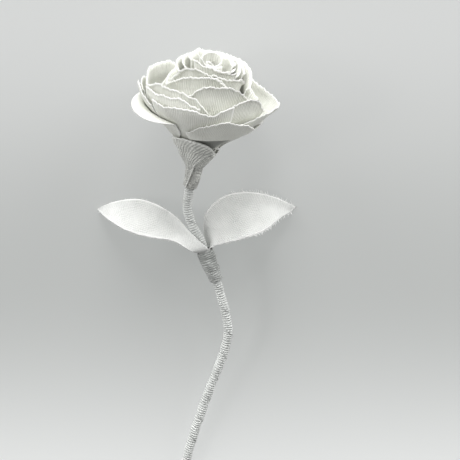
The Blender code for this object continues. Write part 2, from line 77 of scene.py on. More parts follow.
# Bud: a strip rolled round the top of the wire, low inside and rising to its outer turn
ROLL_TURNS = 2.0
ROLL_TOP_PITCH = 2.6 * MM  # distance from turn to turn at its top
ROLL_CORE_HEIGHT = 57.0 * MM
ROLL_HEIGHT = 63.0 * MM
ROLL_TILT = 2.6 * MM  # its outer turn is this much higher behind and lower in front
ROLL_START = math.radians(46)

# Layers from the bud outwards: distance from the rim inside it in millimetres, and its petals as azimuth
# and half width in degrees (0 faces forward, plus is to the right) and heights of the rim from left to
# right. A last value, where there is one, is how far the middle of the rim leans out.
LAYERS = [
    (2.2, {
        "bud_petal_front": (15, 62, (66.5, 61.5, 59.5, 59.7, 60.5)),
        "bud_petal_back": (182, 86, (62, 63.2, 63.6, 64.8, 62)),
    }),
    (3.0, {
        "heart_petal_front": (8, 55, (64, 62, 60.7, 60.5, 59)),
        "heart_petal_right": (122, 54, (58, 62, 63.2, 63.4, 63)),
        "heart_petal_left": (-114, 62, (63, 63, 62, 60, 58)),
    }),
    (2.8, {
        "inner_petal_front": (30, 60, (57, 58, 57.5, 57, 53)),
        "inner_petal_right": (150, 54, (57, 62, 62, 61.8, 59)),
        "inner_petal_left": (-94, 58, (61, 60.5, 58.5, 56, 54)),
    }),
    (2.8, {
        "middle_petal_front": (-18, 54, (51, 58.8, 60.8, 58, 52.5)),
        "middle_petal_right": (128, 52, (52, 58.5, 60.4, 60.8, 58)),
        "middle_petal_left": (-130, 47, (59, 57, 54, 50, 46)),
    }),
    (3.6, {
        "upper_petal_front": (-20, 54, (46, 53.5, 58.2, 58.3, 52)),
        "upper_petal_right": (148, 35, (46, 52, 55, 56, 55)),
        "upper_petal_left": (-134, 39, (54, 52, 49, 46, 42)),
    }),
    (4.6, {
        "broad_petal_front": (14, 44, (45, 54.6, 56.3, 53.7, 46)),
        "broad_petal_back": (166, 34, (44, 51, 54.5, 55, 50)),
    }),
    (3.2, {
        "outer_petal_left": (-34, 44, (46, 50.5, 50.3, 48.5, 41)),
        "outer_petal_right": (42, 29, (44, 48.8, 51, 50, 44)),
        "outer_petal_back": (-116, 36, (49, 52.3, 52, 51, 46)),
        "outer_petal_far": (160, 40, (42, 47, 49, 50, 47)),
    }),
    (2.8, {
        "side_petal_left": (-38, 32, (46.5, 46.5, 46.6, 47.8, 45)),
        "side_petal_right": (90, 57, (38.5, 43, 45.2, 47, 50), 3.4),
        "side_petal_back": (-112, 38, (44, 46, 45, 46, 44)),
        "side_petal_far": (181, 26, (46, 50, 50, 49, 45)),
    }),
    (2.0, {
        "ribbed_petal_front": (-15, 38, (43, 42.3, 44, 43.8, 48.5)),
        "ribbed_petal_left": (-84, 29, (40, 44, 45, 43.5, 40)),
        "ribbed_petal_back": (130, 38, (33, 38, 41, 42, 40)),
        "ribbed_petal_far": (-152, 37, (42, 45, 46, 45, 41)),
    }),
    (1.6, {
        "lowest_petal_front": (17, 36, (30, 35.7, 41, 39.5, 36)),
        "lowest_petal_back": (112, 34, (28, 33, 36, 36, 33)),
        "lowest_petal_far": (-164, 44, (33, 37, 39, 38, 34)),
    }),
]
PETAL_FOOT_SHARE = 0.5     # a petal's angle at its foot, as a share of its angle at the rim
PETAL_WIDEST_SHARE = 0.65  # a petal has its full angle above this share of its height
FLARE_HEIGHT = 7.0 * MM    # the rims lean out over this much of their height
FLARE_SHARE = 0.3          # by this share of the way to the next layer
LEAN_POWER = 6             # the higher, the sharper the tip of a petal that leans out

# The lowest petal in front is pinched in along a crease near its foot
TUCKED_PETAL = "lowest_petal_front"
TUCK_HEIGHT = 26.3 * MM
TUCK_TILT = 2.4 * MM   # higher at its right end and lower at its left
TUCK_BULGE = 2.8 * MM  # the petal bulges out this far above the crease
TUCK_RISE = 12.0 * MM  # and is back in its layer this far up
TUCK_EDGE = 1.4 * MM   # the crease's own height
TUCK_DEPTH = 0.4 * MM  # below the crease it is pinched in by this much
TUCK_POWER = 6         # the higher, the nearer it runs to the petal's sides

# The petal on the left is turned out and down at its rim
TURNED_AZIMUTH = math.radians(-71)
TURNED_HALF_WIDTH = math.radians(42)
TURNED_BEND_HEIGHT = 33.5 * MM  # its middle leaves its layer here
TURNED_TILT = 1.5 * MM          # its back edge higher and its front edge lower
TURNED_LENGTH = 9.0 * MM        # it goes on this far along its curve
TURNED_START_PITCH = math.radians(50)
TURNED_END_PITCH = math.radians(-70)
TURNED_CORNER_CUT = 5.0 * MM  # its corners are rounded off by this much
TURNED_CORNER_POWER = 2.4     # the higher, the squarer they are
TURNED_CURVE_STEPS = 12

# Calyx: a cone wrapped round the feet with its seam in front
CALYX_FOOT = -6.0 * MM
CALYX_TOP = 14.5 * MM
CALYX_SEAM = math.radians(42)   # the azimuth of its outer edge at its top
CALYX_SLANT = math.radians(80)  # the outer edge runs back this far round the stem, down to its foot
CALYX_TURNS = 1.16
CALYX_CLEARANCE = 0.6 * MM  # from the petals inside it to the middle of its cloth
CALYX_LAP = 0.82 * MM       # each turn lies this much further out
CALYX_FOOT_LAP = 0.45 * MM  # and this much at its foot, pulled onto the stem
CALYX_PULLS = 9             # diagonal pulls in the cloth, per radian round the stem
CALYX_PULL_RISE = 0.9 * MM  # they run one radian further round over this height
CALYX_PULL_DEPTH = 0.55 * MM
CALYX_RUCHE_PITCH = 1.5 * MM  # short ruches across its lower, gathered part
CALYX_RUCHE_DEPTH = 0.3 * MM
CALYX_RUCHE_TOP = 4.0 * MM    # they give way to the pulls from this height
CALYX_RUCHE_FADE = 7.0 * MM   # over this much more
CALYX_RUCHE_TURN = 2          # radians by which they run on per radian round the stem
CALYX_RUCHE_WANDER = 4        # and by which they wander
CALYX_UNEVEN_TURNS = 2.5      # changes of the folds' unevenness per radian round the stem
CALYX_UNEVEN_HEIGHT = 3 * MM  # and one more change over this height
CALYX_UNEVEN_DRAW = 1.7       # its place in the noise
CALYX_PULL_SHARE = 0.6        # mean depth of the uneven pulls
CALYX_ROLL = 0.5 * MM         # its outer edge is rolled up by this much
CALYX_ROLL_SHARE = 0.05       # over this share of its width
CALYX_PLEATS = 7
CALYX_PLEAT_DEPTH = 0.35 * MM
CALYX_PLEAT_START = 4.0 * MM  # they begin at this height
CALYX_PLEAT_RISE = 8.0 * MM   # and reach their full depth over this much more
CALYX_POINT = 10.3 * MM       # its front rises this far above its top edge
CALYX_POINT_AZIMUTH = math.radians(-20)
CALYX_WAVE = 0.6 * MM  # its top edge waves this much up and down
CALYX_WAVES = 4

# Leaves: lengths along the blade, and where their feet sit on the stem
LEAF_SEAT = 132.5 * MM       # height on the stem where the blades leave it
LEAF_FOOT_LENGTH = 5.0 * MM  # this much of each leaf lies under the tie
LEAF_FOOT_HALF_WIDTH = math.radians(52)
TIE_LENGTH = 17.0 * MM
TIE_THICKNESS = 0.42 * MM  # at its top
TIE_FOOT_THICKNESS = 0.25 * MM
TIE_BELOW_SEAT = 0.8 * MM  # the leaves bend outwards just above the tie
TIE_NECK = 6.5 * MM        # length at its top that covers the leaves' feet
TIE_TURNS = 2.5
LEAF_RISE = 9.0 * MM      # a leaf's foot leads this far up the stem
LEAF_OPENING = 14.0 * MM  # and this far out, opening into the blade
LEAF_FOOT_ROWS = 2
LEAF_BLADE_ROWS = 10
LEAF_BLEND_ROWS = 2.5           # the foot has become the blade after this many
LEAF_FRONT_SHARE = 0.4          # a blade's start in front of the stem is made good by this share
LEAF_BACK_POWER = 1.5           # the higher, the nearer to its tip a leaf bends back
LEAF_CHANNEL_WIDTH = 20.0 * MM  # a leaf this wide has its full channel depth, a narrower part less
LEAF_CHANNEL_START = 0.35       # the channel has its full depth from this share of the blade on
LEAF_TIP_FLATTENING = 0.6       # share of the channel that is lost towards the tip

# Each leaf: where its foot sits round the stem, how far forward of the stem's middle its blade starts, how
# far its upper edge leans back and its lower edge forward, how deep its channel is, and its upper and lower
# edges from the stem to the tip as x, z in millimetres
LEAVES = {
    "left_leaf": {
        "foot_azimuth": -8, "front": 10.5, "edge_lean": 5.0, "channel": 2.4,
        "upper": [
            (12, 136), (6, 142), (-1.5, 147.5), (-11.5, 152.7), (-22, 154.9), (-34, 152.6), (-43.3, 148),
        ],
        "lower": [
            (11, 132), (4.5, 135.3), (-3.5, 137.8), (-15.5, 138.5), (-27, 140), (-37.5, 144), (-43.8, 147),
        ],
    },
    "right_leaf": {
        "foot_azimuth": 104, "front": 0.0, "edge_lean": 5.0, "channel": 2.0,
        "upper": [
            (13, 136), (11.8, 145.5), (15.8, 153), (24.5, 158.4), (36.5, 158.7), (49.5, 155), (60.8, 148.6),
        ],
        "lower": [
            (15, 132.5), (20.5, 135.6), (28.5, 137.6), (37.5, 139.2), (45.5, 141.3), (52.5, 145),
            (60.2, 147.6),
        ],
    },
}

TIP_LIFT = 0.06 * MM  # the leaves' tips just clear the surface on which the rose lies

# Where the record's mount sits on the stem's cut end
MOUNT_AZIMUTH = 0.3
MOUNT_RADIUS = 1.8 * MM

# Finish of the fine cloth
GRID_STEP = 0.7 * MM       # one cell of a petal's mesh
FINE_GRID_STEP = 0.5 * MM  # and of cloth with sharp folds in it
LEAF_GRID_STEP = 0.9 * MM  # and of a leaf's
FEWEST_COLUMNS, MOST_COLUMNS = 24, 160
FEWEST_ROWS, MOST_ROWS = 16, 80
LIP_HEIGHT = 1.6 * MM  # the rims curl out over this height
LIP_REACH = 0.8 * MM   # this far, where the next layer leaves room
LIP_SHARE = 0.35       # share of the room to the next layer that a lip may take
BUD_LAYERS = 4         # in this many inner layers
BUD_LIP_SHARE = 0.6    # the rims curl out by this share instead
RIPPLES = (5, 11)      # waves of a rim from one corner of its petal to the other, in radians
RIPPLE_SHARE = 0.6     # height of the short waves as a share of the long ones
RIPPLE_HEIGHT = 0.4 * MM
NICK_ANGLE = 2.0  # degrees from nick to nick in a rim
NICK_HEIGHT = 0.9 * MM
NICK_DRAW = (7.1, 3)       # each layer and azimuth takes its nicks from its own place in the noise
BUCKLE_HEIGHT = 11.0 * MM  # height of one soft buckle in a petal
BUCKLE_TURNS = 3           # buckles per radian round the head
BUCKLE_DRAW = 5.3          # and a layer's buckles, too
BUCKLE_SHARE = 0.2         # its depth as a share of the room to the next layer

# Loose threads of the raw edges
THREAD_SPACING = 0.55 * MM
THREAD_RADIUS = 0.09 * MM
THREAD_LENGTHS = (0.25 * MM, 0.8 * MM)      # shortest and longest on a petal
BUD_THREAD_LENGTHS = (0.25 * MM, 0.7 * MM)  # on the rolled bud
CALYX_THREAD_LENGTHS = (0.2 * MM, 0.7 * MM)
LEAF_THREAD_LENGTHS = (0.3 * MM, 1.0 * MM)
LEAF_THREADS_FROM, LEAF_THREADS_TO = 0.35, 0.98  # shares of a leaf's length
LEAF_TIP_WIDTH = 5.0 * MM
FRAYED_LEAF = "right_leaf"  # its outer half is frayed
FRAY_RADIUS = 0.15 * MM     # into twisted bundles of threads
FRAY_LENGTHS = (0.6 * MM, 2.4 * MM)
FRAYED_FROM = {1: 0.62, -1: 0.6}  # its upper and its lower edge, from these shares of its length
FRAYED_TO = 0.99
THREAD_LEAN = 0.55  # how far threads lean to one side, against their length
THREAD_BEND = 0.25  # and how far they bend
AIM_STEP = 0.03     # a thread aims away from the cloth this share of it inside
THREAD_SIDES = 3
# Shares of a thread's length, from inside the cloth to its tip, and of its radius there
THREAD_RINGS = ((-0.25, 1.0), (0.5, 0.85), (1.0, 0.35))


def smooth(value):
    value = max(0.0, min(1.0, value))
    return value * value * (3 - 2 * value)


HEAD_AXIS = Vector((math.sin(HEAD_LEAN), -math.sin(HEAD_NOD), 1))
HEAD_AXIS.z = math.sqrt(1 - HEAD_AXIS.x ** 2 - HEAD_AXIS.y ** 2)
HEAD_FRONT = (Vector((0, -1, 0)) + HEAD_AXIS * HEAD_AXIS.y).normalized()
HEAD_RIGHT = HEAD_FRONT.cross(HEAD_AXIS) * -1


def head_point(azimuth, radius, height):
    outward = HEAD_FRONT * math.cos(azimuth) + HEAD_RIGHT * math.sin(azimuth)
    return NECK + HEAD_AXIS * height + outward * radius


LAYER_PITCH = CLOTH + GAP
ROLL_FOOT_PITCH = LAYER_PITCH + 0.03 * MM  # its flat facets need a little more
ROLL_INNER = WIRE_RADIUS + GAP + CLOTH / 2
ROLL_OUTER = ROLL_INNER + ROLL_TURNS * ROLL_FOOT_PITCH
ROLL_TOP_OUTER = ROLL_INNER + ROLL_TURNS * ROLL_TOP_PITCH


def foot_radius(layer):
    return ROLL_OUTER + LAYER_PITCH * layer


def rim_radius(layer):
    return ROLL_TOP_OUTER + sum(step for step, petals in LAYERS[:layer]) * MM


def step_outside(layer):
    """Distance from this layer's rim to the next one's."""
    return LAYERS[min(layer, len(LAYERS) - 1)][0] * MM


def foot_height(layer):
    return FOOT_START + FOOT_RISE * layer


def cup(height):
    share = (height - CUP_START) / (CUP_BELLY - CUP_START)
    return math.sin(math.pi / 2 * max(0.0, min(1.0, share))) ** 2


def sway(azimuth, height):
    """The head's oval and its uneven hand work, which every layer shares so that they stay clear."""
    wave = SWAY * math.sin(3 * azimuth - height / SWAY_HEIGHT)
    return (wave - OVAL * math.cos(2 * azimuth)) * cup(height)


def layer_radius(layer, azimuth, height):
    foot = foot_radius(layer)
    return foot + (rim_radius(layer) - foot) * cup(height) + sway(azimuth, height)


def foot_narrowing(v):
    return PETAL_FOOT_SHARE + (1 - PETAL_FOOT_SHARE) * smooth(v / PETAL_WIDEST_SHARE)


# Stem
SPAN_STEPS = 40                 # steps of the centre line from one point of its route to the next
TANGENT_STEPS = 12              # and its direction is taken over this many to each side
WIRE_POINTS = (0.35, 0.7, 1.0)  # its points above the neck, as shares of WIRE_END


def curve_point(points, position):
    """A smooth curve through the points; position runs from 0 to the number of spans."""
    span = min(int(position), len(points) - 2)
    share = position - span
    before = points[max(span - 1, 0)]
    start = points[span]
    end = points[span + 1]
    after = points[min(span + 2, len(points) - 1)]
    return 0.5 * (2 * start + (end - before) * share
                  + (2 * before - 5 * start + 4 * end - after) * share ** 2
                  + (3 * start - before - 3 * end + after) * share ** 3)


def centre_line():
    """Close points along the stem and on along the head's axis, with their distance from the neck."""
    route = [Vector(point) * MM for point in STEM_ROUTE] + [NECK]
    route += [NECK + HEAD_AXIS * WIRE_END * share for share in WIRE_POINTS]
    fine = []
    for step in range(SPAN_STEPS * (len(route) - 1) + 1):
        fine.append(curve_point(route, step / SPAN_STEPS))
    lengths = [0.0]
    for index in range(1, len(fine)):
        lengths.append(lengths[-1] + (fine[index] - fine[index - 1]).length)
    neck_length = lengths[SPAN_STEPS * len(STEM_ROUTE)]
    return fine, [length - neck_length for length in lengths]


FINE_LINE, FINE_LENGTHS = centre_line()


def line_point(length):
    """The centre line's point and direction at this distance above the neck, or below it if less than 0."""
    index = 1
    while index < len(FINE_LENGTHS) - 1 and FINE_LENGTHS[index] < length:
        index += 1
    start, end = FINE_LINE[index - 1], FINE_LINE[index]
    share = (length - FINE_LENGTHS[index - 1]) / (FINE_LENGTHS[index] - FINE_LENGTHS[index - 1])
    before = FINE_LINE[max(index - TANGENT_STEPS, 0)]
    after = FINE_LINE[min(index - 1 + TANGENT_STEPS, len(FINE_LINE) - 1)]
    return start + (end - start) * share, (after - before).normalized()


def ring_point(length, azimuth, radius):
    centre, along = line_point(length)
    front = (Vector((0, -1, 0)) - along * along.dot(Vector((0, -1, 0)))).normalized()
    side = front.cross(along) * -1
    return centre + (front * math.cos(azimuth) + side * math.sin(azimuth)) * radius


def stem_length_at(height):
    for index in range(1, len(FINE_LINE)):
        if FINE_LINE[index].z >= height:
            return FINE_LENGTHS[index]
    return 0.0


STEM_FOOT = FINE_LENGTHS[0]
STEM_RADIUS = WIRE_RADIUS + GAP + WRAP_THICKNESS
LEAF_FOOT_RADIUS = STEM_RADIUS + GAP + LEAF_CLOTH / 2
TIE_INNER = LEAF_FOOT_RADIUS + LEAF_CLOTH / 2 + GAP
TIE_LOW_INNER = STEM_RADIUS + GAP
SEAT_LENGTH = stem_length_at(LEAF_SEAT)


def find_lying_place():
    """How the upright rose was laid down: a turn about X that puts its cut end at the record's mount."""
    mount = frame["record"]["mounts"][0]
    into_stem = -Vector(mount["axis"])
    along = line_point(STEM_FOOT)[1]
    angle = math.atan2(into_stem.z, into_stem.y) - math.atan2(along.z, along.y)
    turn = Matrix.Rotation(angle, 4, "X")
    seat = turn @ ring_point(STEM_FOOT, MOUNT_AZIMUTH, MOUNT_RADIUS)
    return Matrix.Translation(Vector(mount["pos_m"]) - seat) @ turn


LYING = find_lying_place()

# Camera: it looks at the upright rose level from the front and a little down, so at the lying one steeply
PHOTO_SIZE = 460
PHOTO_PITCH = 0.52 * MM                     # size of one pixel at the rose
PHOTO_CENTRE = Vector((26.2, 0, 144)) * MM  # upright point at the middle of the photograph
CAMERA_ELEVATION = math.radians(20)
CAMERA_DISTANCE = 1.0
SENSOR = 36.0


def new_object(data):
    thing = bpy.data.objects.new(data.name, data)
    bpy.context.scene.collection.objects.link(thing)
    return thing


def make_camera():
    data = bpy.data.cameras.new("camera")
    data.sensor_width = SENSOR
    data.lens = SENSOR * CAMERA_DISTANCE / (PHOTO_PITCH * PHOTO_SIZE)
    data.clip_start = 0.01
    camera = new_object(data)
    back = Vector((0, -math.cos(CAMERA_ELEVATION), math.sin(CAMERA_ELEVATION)))
    place = back.to_track_quat("Z", "Y").to_matrix().to_4x4()
    place.translation = PHOTO_CENTRE + back * CAMERA_DISTANCE
    camera.matrix_world = LYING @ place
    bpy.context.scene.camera = camera


# Materials
def colour(code):
    """Linear colour from an sRGB hex value."""
    channels = [int(code[index:index + 2], 16) / 255 for index in (0, 2, 4)]
    linear = [c / 12.92 if c <= 0.04045 else ((c + 0.055) / 1.055) ** 2.4 for c in channels]
    return (*linear, 1.0)


def add_node(tree, kind, settings=None, values=None, links=None):
    node = tree.nodes.new("ShaderNode" + kind)
    for name, value in (settings or {}).items():
        setattr(node, name, value)
    for name, value in (values or {}).items():
        node.inputs[name].default_value = value
    for name, source in (links or {}).items():
        tree.links.new(source, node.inputs[name])
    return node


def add_math(tree, operation, first, second=None):
    node = add_node(tree, "Math", {"operation": operation})
    for index, value in enumerate((first, second)):
        if value is None:
            continue
        if isinstance(value, (int, float)):
            node.inputs[index].default_value = value
        else:
            tree.links.new(value, node.inputs[index])
    return node.outputs[0]


def new_material(name):
    material = bpy.data.materials.new(name)
    material.use_nodes = True
    tree = material.node_tree
    tree.nodes.clear()
    return material, tree


PAINTED_FOLD_SHADE_GREY = "8C8D88"  # painted shade: grey of the cloth deep in a pinched fold
DRIFT_SCALE = 0.35       # per millimetre: how quickly the threads wander
DRIFT = 1.6              # and how far, against the crossing threads' pitch
FADING_SCALE = 0.11      # per millimetre: the weave shows in patches, and between them
FADED = 0.35             # only at this share of its strength
WEAVE_FADED_AT = 0.35    # noise at which it is weakest
WEAVE_FULL_AT = 0.6      # and strongest
FIBRE_SCALE = 900.0      # per metre
FIBRE_HEIGHT = 0.6
CREASE_SCALE = 120.0  # per metre
CREASE_HEIGHT = 2.2
# painted shade: how much darker the cloth is in the hollows of its creases
CREASE_SHADE = 0.9
BUMP_STRENGTH = 0.75
EDGE_HIGHLIGHT_STARTS_AT = 1.1  # millimetres from the raw edge where the painted highlight starts, and where it is full
EDGE_HIGHLIGHT_FULL_AT = 0.25
SHEEN = {"Roughness": 0.92, "IOR": 1.5, "Sheen Weight": 0.15, "Sheen Roughness": 0.6,
         "Specular IOR Level": 0.25}


def add_mix(tree, factor, first, second):
    """A colour between two colours or colour outputs."""
    node = add_node(tree, "Mix", {"data_type": "RGBA"}, links={"Factor": factor})
    for index, value in ((6, first), (7, second)):
        if isinstance(value, tuple):
            node.inputs[index].default_value = value
        else:
            tree.links.new(value, node.inputs[index])
    return node.outputs[2]


def add_noise(tree, place, scale, detail, roughness=0.5):
    values = {"Scale": scale, "Detail": detail, "Roughness": roughness}
    return add_node(tree, "TexNoise", values=values, links={"Vector": place}).outputs[0]


def add_range(tree, value, **ends):
    """The value's range from_min to from_max, or 0 to 1, brought to to_min to to_max, or 0 to 1."""
    values = {name.replace("_", " ").title(): end for name, end in ends.items()}
    return add_node(tree, "MapRange", values=values, links={"Value": value})


def add_wave(tree, along, slant, pitch):
    angle = add_math(tree, "MULTIPLY", add_math(tree, "ADD", along, slant), 2 * math.pi / pitch)
    return add_math(tree, "SINE", angle)


def make_cotton(name, ridge, shaded_groove, edge, pitches, depth, weights):
    """Bleached cotton: ribs along the cloth and threads across it, their pitches and depth in millimetres and
    their weights, drawn from the piece's own UV map in millimetres; painted shade darkens the grooves and the
    hollows of the creases, and a painted highlight makes the raw edges paler."""
    material, tree = new_material(name)
    cloth_uv = add_node(tree, "UVMap", {"uv_map": "cloth_mm"}).outputs[0]
    edge_uv = add_node(tree, "UVMap", {"uv_map": "edge_mm"}).outputs[0]
    across, up, _ = add_node(tree, "SeparateXYZ", links={"Vector": cloth_uv}).outputs
    from_side, from_rim, _ = add_node(tree, "SeparateXYZ", links={"Vector": edge_uv}).outputs
    place = add_node(tree, "TexCoord").outputs["Object"]

    slant = add_math(tree, "MULTIPLY", add_noise(tree, cloth_uv, DRIFT_SCALE, 2.0), DRIFT * pitches[1])
    rib = add_math(tree, "MULTIPLY", add_wave(tree, across, slant, pitches[0]), weights[0])
    thread = add_math(tree, "MULTIPLY", add_wave(tree, up, slant, pitches[1]), weights[1])
    strength = add_range(tree, add_noise(tree, cloth_uv, FADING_SCALE, 1.0), from_min=WEAVE_FADED_AT,
                         from_max=WEAVE_FULL_AT, to_min=FADED).outputs[0]
    weave = add_math(tree, "MULTIPLY", add_math(tree, "ADD", rib, thread), strength)
    fibres = add_noise(tree, place, FIBRE_SCALE, 3.0, 0.7)
    creases = add_noise(tree, place, CREASE_SCALE, 3.0, 0.55)
    height = add_math(tree, "ADD", weave, add_math(tree, "MULTIPLY", fibres, FIBRE_HEIGHT))
    height = add_math(tree, "ADD", height, add_math(tree, "MULTIPLY", creases, CREASE_HEIGHT))
    bump = add_node(tree, "Bump", values={"Strength": BUMP_STRENGTH, "Distance": depth * MM},
                    links={"Height": height})

    # painted shade: the cloth is darker where its weave and its creases lie low, in their grooves and hollows
    uneven = add_math(tree, "MULTIPLY", add_math(tree, "SUBTRACT", creases, 0.5), CREASE_SHADE)
    tone = add_math(tree, "ADD", add_math(tree, "ADD", weave, 0.5), uneven)
    face = add_mix(tree, tone, colour(shaded_groove), colour(ridge))
    # painted shade: cloth in a pinched fold is mixed towards grey by the share in the piece's attribute
    painted_fold_shade = add_node(tree, "Attribute", {"attribute_name": "painted_fold_shade"}).outputs["Fac"]
    face_with_fold_shade = add_mix(tree, painted_fold_shade, face, colour(PAINTED_FOLD_SHADE_GREY))
    # painted highlight: the cloth grows paler towards its raw edges, where the rims catch the light
    nearness = add_math(tree, "MINIMUM", from_side, from_rim)
    edge_highlight_share = add_range(tree, nearness, from_min=EDGE_HIGHLIGHT_STARTS_AT, from_max=EDGE_HIGHLIGHT_FULL_AT).outputs[0]
    shown = add_mix(tree, edge_highlight_share, face_with_fold_shade, colour(edge))
    shader = add_node(tree, "BsdfPrincipled", values=SHEEN,
                      links={"Base Color": shown, "Normal": bump.outputs[0]})
    add_node(tree, "OutputMaterial", links={"Surface": shader.outputs[0]})
    return material


# Fine ribbed cotton: soft matt white, its ribs show where light grazes them, with painted shade in their
# grooves
PETAL_COTTON = make_cotton("ribbed_bleached_cotton", "F7F8F1", "D5D6CD", "FFFFFC", (1.1, 0.7), 0.2,
                           (0.42, 0.2))
# The same cloth pulled and creased round the neck, with deeper painted shade in the grooves of its weave and
# the hollows of its creases
CALYX_COTTON = make_cotton("creased_bleached_cotton", "F4F5EF", "BCBDB8", "FCFDF8", (1.9, 1.1), 0.5,
                           (0.6, 0.2))
# Plain weave of the leaves, its threads as coarse as they need to be to show, with painted shade between them
LEAF_COTTON = make_cotton("plain_weave_bleached_cotton", "F2F3F0", "CDCFCC", "FFFFFD", (0.95, 0.95), 0.25,
                          (0.32, 0.18))
# Wound strip of the stem: its threads run round the wire, with painted shade in the grooves between them
STEM_COTTON = make_cotton("wound_cotton_strip", "EAECE9", "BABDBA", "E9EAE7", (9.0, 1.3), 0.35, (0.05, 0.6))
# The tie's strip is pulled into tight creases; painted shade makes its cloth grey all over and darker still
# in its grooves
SHADED_TIE_COTTON = make_cotton("pulled_cotton_strip", "C2C4C1", "808380", "E9EAE7", (6.0, 1.2), 0.4, (0.15, 0.45))


def make_steel():
    """Plain drawn steel wire: grey, with fine marks along it."""
    material, tree = new_material("drawn_steel_wire")
    place = add_node(tree, "TexCoord").outputs["Object"]
    marks = add_noise(tree, place, 1500.0, 2.0)
    roughness = add_range(tree, marks, to_min=0.3, to_max=0.5).outputs[0]
    bump = add_node(tree, "Bump", values={"Strength": 0.2, "Distance": 0.05 * MM}, links={"Height": marks})
    shader = add_node(tree, "BsdfPrincipled", values={"Base Color": colour("B4B4B6"), "Metallic": 1.0},
                      links={"Roughness": roughness, "Normal": bump.outputs[0]})
    add_node(tree, "OutputMaterial", links={"Surface": shader.outputs[0]})
    return material


# Pieces of cloth
def select_only(*pieces):
    """Select these pieces alone; the last of them becomes the active one."""
    bpy.ops.object.select_all(action="DESELECT")
    for piece in pieces:
        piece.select_set(True)
        bpy.context.view_layer.objects.active = piece


def new_grid(name, columns, rows):
    """A flat grid and the place of its vertices on it: u from -1 to 1 across and v from 0 to 1 up."""
    bpy.ops.object.select_all(action="DESELECT")
    bpy.ops.mesh.primitive_grid_add(x_subdivisions=columns, y_subdivisions=rows, size=2)
    piece = bpy.context.object
    piece.name = name
    flat = [(vertex.co.x, (vertex.co.y + 1) / 2) for vertex in piece.data.vertices]
    return piece, flat


def write_uvs(mesh, flat, cloth_place, edge_place):
    """The cloth's place and its distance from its edges, both in millimetres, as the mesh's only UV maps."""
    while mesh.uv_layers:
        mesh.uv_layers.remove(mesh.uv_layers[0])
    cloth_mm = mesh.uv_layers.new(name="cloth_mm")
    edge_mm = mesh.uv_layers.new(name="edge_mm")
    for loop in mesh.loops:
        u, v = flat[loop.vertex_index]
        cloth_mm.data[loop.index].uv = cloth_place(u, v)
        edge_mm.data[loop.index].uv = edge_place(u, v)


def lay_out_grid(name, surface, width, length, columns, rows, painted_fold_shade=None):
    """A grid bent to surface(u, v), with how far it lies in a fold as an attribute, by which shade is painted
    into its colour.
    """
    piece, flat = new_grid(name, columns, rows)
    mesh = piece.data
    for vertex, (u, v) in zip(mesh.vertices, flat):
        vertex.co = LYING @ surface(u, v)
    write_uvs(mesh, flat,
              lambda u, v: (u * width / 2 / MM, v * length / MM),
              lambda u, v: ((1 - abs(u)) * width / 2 / MM, (1 - v) * length / MM))
    # the attribute says where shade is painted into the cloth's colour
    fold = mesh.attributes.new("painted_fold_shade", "FLOAT", "POINT")
    for index, (u, v) in enumerate(flat):
        fold.data[index].value = painted_fold_shade(u, v) if painted_fold_shade else 0.0
    return piece


def thicken(piece, thickness, offset=0):
    """Give the cloth its thickness, to both sides, or inwards with an offset of -1."""
    select_only(piece)
    solidify = piece.modifiers.new("thickness", "SOLIDIFY")
    solidify.thickness = thickness
    solidify.offset = offset
    bpy.ops.object.modifier_apply(modifier="thickness")
    bpy.ops.object.shade_smooth()


def edge_root(surface, u, v, du, dv):
    """Place of a thread at a spot of an edge, and its aim away from the cloth that lies at u - du, v - dv."""
    place = LYING @ surface(u, v)
    return place, (place - LYING @ surface(u - du, v - dv)).normalized()


def add_threads(piece, surface, spots, seed, lengths, radius=THREAD_RADIUS):
    """Loose thread ends of a raw edge: thin tapering prisms from each spot, joined to the cloth. None goes
    below the surface on which the rose lies."""
    draw = random.Random(seed)
    points, faces = [], []
    for place, direction in [edge_root(surface, *spot) for spot in spots]:
        length = draw.uniform(*lengths)
        lean = Vector([draw.uniform(-1, 1) for _ in range(3)])
        aim = (direction + lean * THREAD_LEAN).normalized()
        bend = Vector([draw.uniform(-1, 1) for _ in range(3)]) * length * THREAD_BEND
        side = aim.orthogonal().normalized()
        other = aim.cross(side)
        low = len(points)
        for share, size in THREAD_RINGS:
            middle = place + aim * length * share + bend * max(0.0, share) ** 2
            for corner in range(THREAD_SIDES):
                angle = 2 * math.pi * corner / THREAD_SIDES
                point = middle + (side * math.cos(angle) + other * math.sin(angle)) * radius * size
                point.z = max(point.z, 0.0)
                points.append(point)
        for ring in range(len(THREAD_RINGS) - 1):
            start = low + ring * THREAD_SIDES
            for corner in range(THREAD_SIDES):
                following = (corner + 1) % THREAD_SIDES
                faces.append((start + corner, start + following,
                              start + THREAD_SIDES + following, start + THREAD_SIDES + corner))
        top = low + (len(THREAD_RINGS) - 1) * THREAD_SIDES
        faces.append(tuple(low + corner for corner in reversed(range(THREAD_SIDES))))
        faces.append(tuple(top + corner for corner in range(THREAD_SIDES)))
    mesh = bpy.data.meshes.new(piece.name + "_threads")
    mesh.from_pydata(points, [], faces)
    for layer in ("cloth_mm", "edge_mm"):
        mesh.uv_layers.new(name=layer)
    mesh.materials.append(piece.data.materials[0])
    select_only(new_object(mesh), piece)
    bpy.ops.object.join()


def rim_spots(width):
    """Spots (u, v, du, dv) along the rim at v = 1."""
    count = max(2, int(width / THREAD_SPACING))
    return [(-1 + 2 * (index + 0.5) / count, 1.0, 0.0, AIM_STEP) for index in range(count)]


def side_spots(length, side, start, end):
    """Spots along the edge at u = side, from one share of the cloth's length to another."""
    reach = end - start
    count = max(2, int(length * reach / THREAD_SPACING))
    return [(side, start + reach * (index + 0.5) / count, side * AIM_STEP, 0.0) for index in range(count)]


MEASURED_ROWS = 8
MEASURED_STEPS = 20


def path_length(points):
    return sum((b - a).length for a, b in zip(points, points[1:]))


